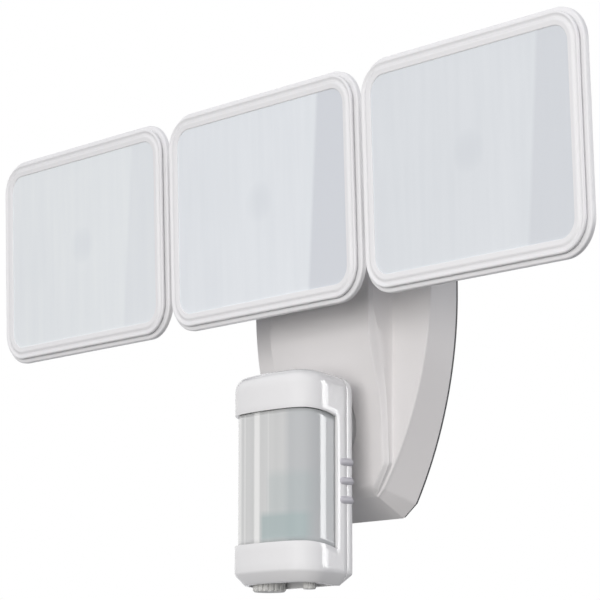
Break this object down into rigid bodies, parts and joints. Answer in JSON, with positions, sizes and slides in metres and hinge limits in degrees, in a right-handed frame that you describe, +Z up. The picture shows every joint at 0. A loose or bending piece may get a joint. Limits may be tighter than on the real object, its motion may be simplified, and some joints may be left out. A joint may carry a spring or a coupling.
{
  "type": "motion sensor security light",
  "caption": "Wall-mounted security light: a row of flat rectangular LED heads that tilt and turn on a shield-shaped wall box, with a motion sensor on a ball swivel below.",
  "frame": {"origin": "on the wall plane, midway between the mounting strap's two slots", "axes": "+X to the viewer's right along the row of heads, +Y into the wall, +Z up"},
  "size_m": [0.4064, 0.0681, 0.2271],
  "materials": {
    "white_casting": "smooth white powder coat",
    "white_enamel": "smooth white enamel",
    "white_plastic": "moulded, glossy",
    "frosted_lens": "frosted, translucent",
    "sensor_window": "translucent, finely ribbed inside",
    "dial_plastic": "moulded, satin",
    "reflector_white": "moulded, satin white",
    "grey_rubber": "soft, matt",
    "led_board": "white solder mask on aluminium",
    "led_chip": "yellow phosphor",
    "zinc_steel": "zinc plated",
    "green_steel": "green passivated",
    "circuit_board": "green solder mask",
    "components": "black and grey mouldings",
    "terminal_plastic": "moulded"
  },
  "bodies": {
    "wall_box": {"canopy": "white_casting", "wall_gasket": "grey_rubber", "mounting_strap": "zinc_steel", "box_side_screws": "zinc_steel", "ground_screw": "green_steel", "terminal_block": "terminal_plastic", "driver_board": "circuit_board", "driver_components": "components", "small_screws": "zinc_steel", "centre_bracket": "white_casting", "centre_tilt_bolt": "zinc_steel", "centre_lock_nut": "zinc_steel", "left_arm": "white_casting", "right_arm": "white_casting", "arm_nuts": "zinc_steel", "swivel_bolts": "zinc_steel", "swivel_nuts": "zinc_steel", "sensor_socket": "white_plastic", "swivel_stubs": "zinc_steel"},
    "centre_head": {"centre_head_housing": "white_casting", "centre_head_front_frame": "white_casting", "centre_head_lens": "frosted_lens", "centre_head_seal": "grey_rubber", "centre_head_reflector": "reflector_white", "centre_head_led_board": "led_board", "centre_head_led_chips": "led_chip", "centre_head_screws": "zinc_steel"},
    "left_swivel": {"left_swivel_fork": "white_casting", "left_tilt_bolt": "zinc_steel", "left_lock_nut": "zinc_steel"},
    "right_swivel": {"right_swivel_fork": "white_casting", "right_tilt_bolt": "zinc_steel", "right_lock_nut": "zinc_steel"},
    "left_head": {"left_head_housing": "white_casting", "left_head_front_frame": "white_casting", "left_head_lens": "frosted_lens", "left_head_seal": "grey_rubber", "left_head_reflector": "reflector_white", "left_head_led_board": "led_board", "left_head_led_chips": "led_chip", "left_head_screws": "zinc_steel"},
    "right_head": {"right_head_housing": "white_casting", "right_head_front_frame": "white_casting", "right_head_lens": "frosted_lens", "right_head_seal": "grey_rubber", "right_head_reflector": "reflector_white", "right_head_led_board": "led_board", "right_head_led_chips": "led_chip", "right_head_screws": "zinc_steel"},
    "sensor_swivel": {"sensor_ball": "white_plastic", "sensor_tilt_pin": "zinc_steel"},
    "sensor": {"sensor_rear_shell": "white_plastic", "sensor_front_shell": "white_plastic", "sensor_lens": "sensor_window", "sensor_board": "circuit_board", "pir_element": "zinc_steel", "sensor_bottom_plate": "white_plastic", "sensor_screws": "zinc_steel"},
    "range_dial_body": {"range_dial": "dial_plastic"},
    "time_dial_body": {"time_dial": "dial_plastic"}
  },
  "joints": [
    {"name": "centre_head_tilt", "type": "hinge", "parent": "wall_box", "child": "centre_head", "pos_m": [0, -0.031, 0.0262], "axis": [1, 0, 0], "range_deg": [-20, 20]},
    {"name": "left_head_turn", "type": "hinge", "parent": "wall_box", "child": "left_swivel", "pos_m": [-0.1362, -0.011, 0.0262], "axis": [0, 0, 1], "range_deg": [-40, 0]},
    {"name": "right_head_turn", "type": "hinge", "parent": "wall_box", "child": "right_swivel", "pos_m": [0.1362, -0.011, 0.0262], "axis": [0, 0, 1], "range_deg": [0, 40]},
    {"name": "left_head_tilt", "type": "hinge", "parent": "left_swivel", "child": "left_head", "pos_m": [-0.1362, -0.031, 0.0262], "axis": [1, 0, 0], "range_deg": [-30, 45]},
    {"name": "right_head_tilt", "type": "hinge", "parent": "right_swivel", "child": "right_head", "pos_m": [0.1362, -0.031, 0.0262], "axis": [1, 0, 0], "range_deg": [-30, 45]},
    {"name": "sensor_turn", "type": "hinge", "parent": "wall_box", "child": "sensor_swivel", "pos_m": [0, -0.016, -0.074], "axis": [0, 0, 1], "range_deg": [-12, 12]},
    {"name": "sensor_tilt", "type": "hinge", "parent": "sensor_swivel", "child": "sensor", "pos_m": [0, -0.016, -0.074], "axis": [1, 0, 0], "range_deg": [-6, 6]},
    {"name": "range_dial_turn", "type": "hinge", "parent": "sensor", "child": "range_dial_body", "pos_m": [-0.013, -0.048, -0.148], "axis": [0, 0, 1], "range_deg": [-135, 135]},
    {"name": "time_dial_turn", "type": "hinge", "parent": "sensor", "child": "time_dial_body", "pos_m": [0.0145, -0.048, -0.148], "axis": [0, 0, 1], "range_deg": [-135, 135]}
  ]
}
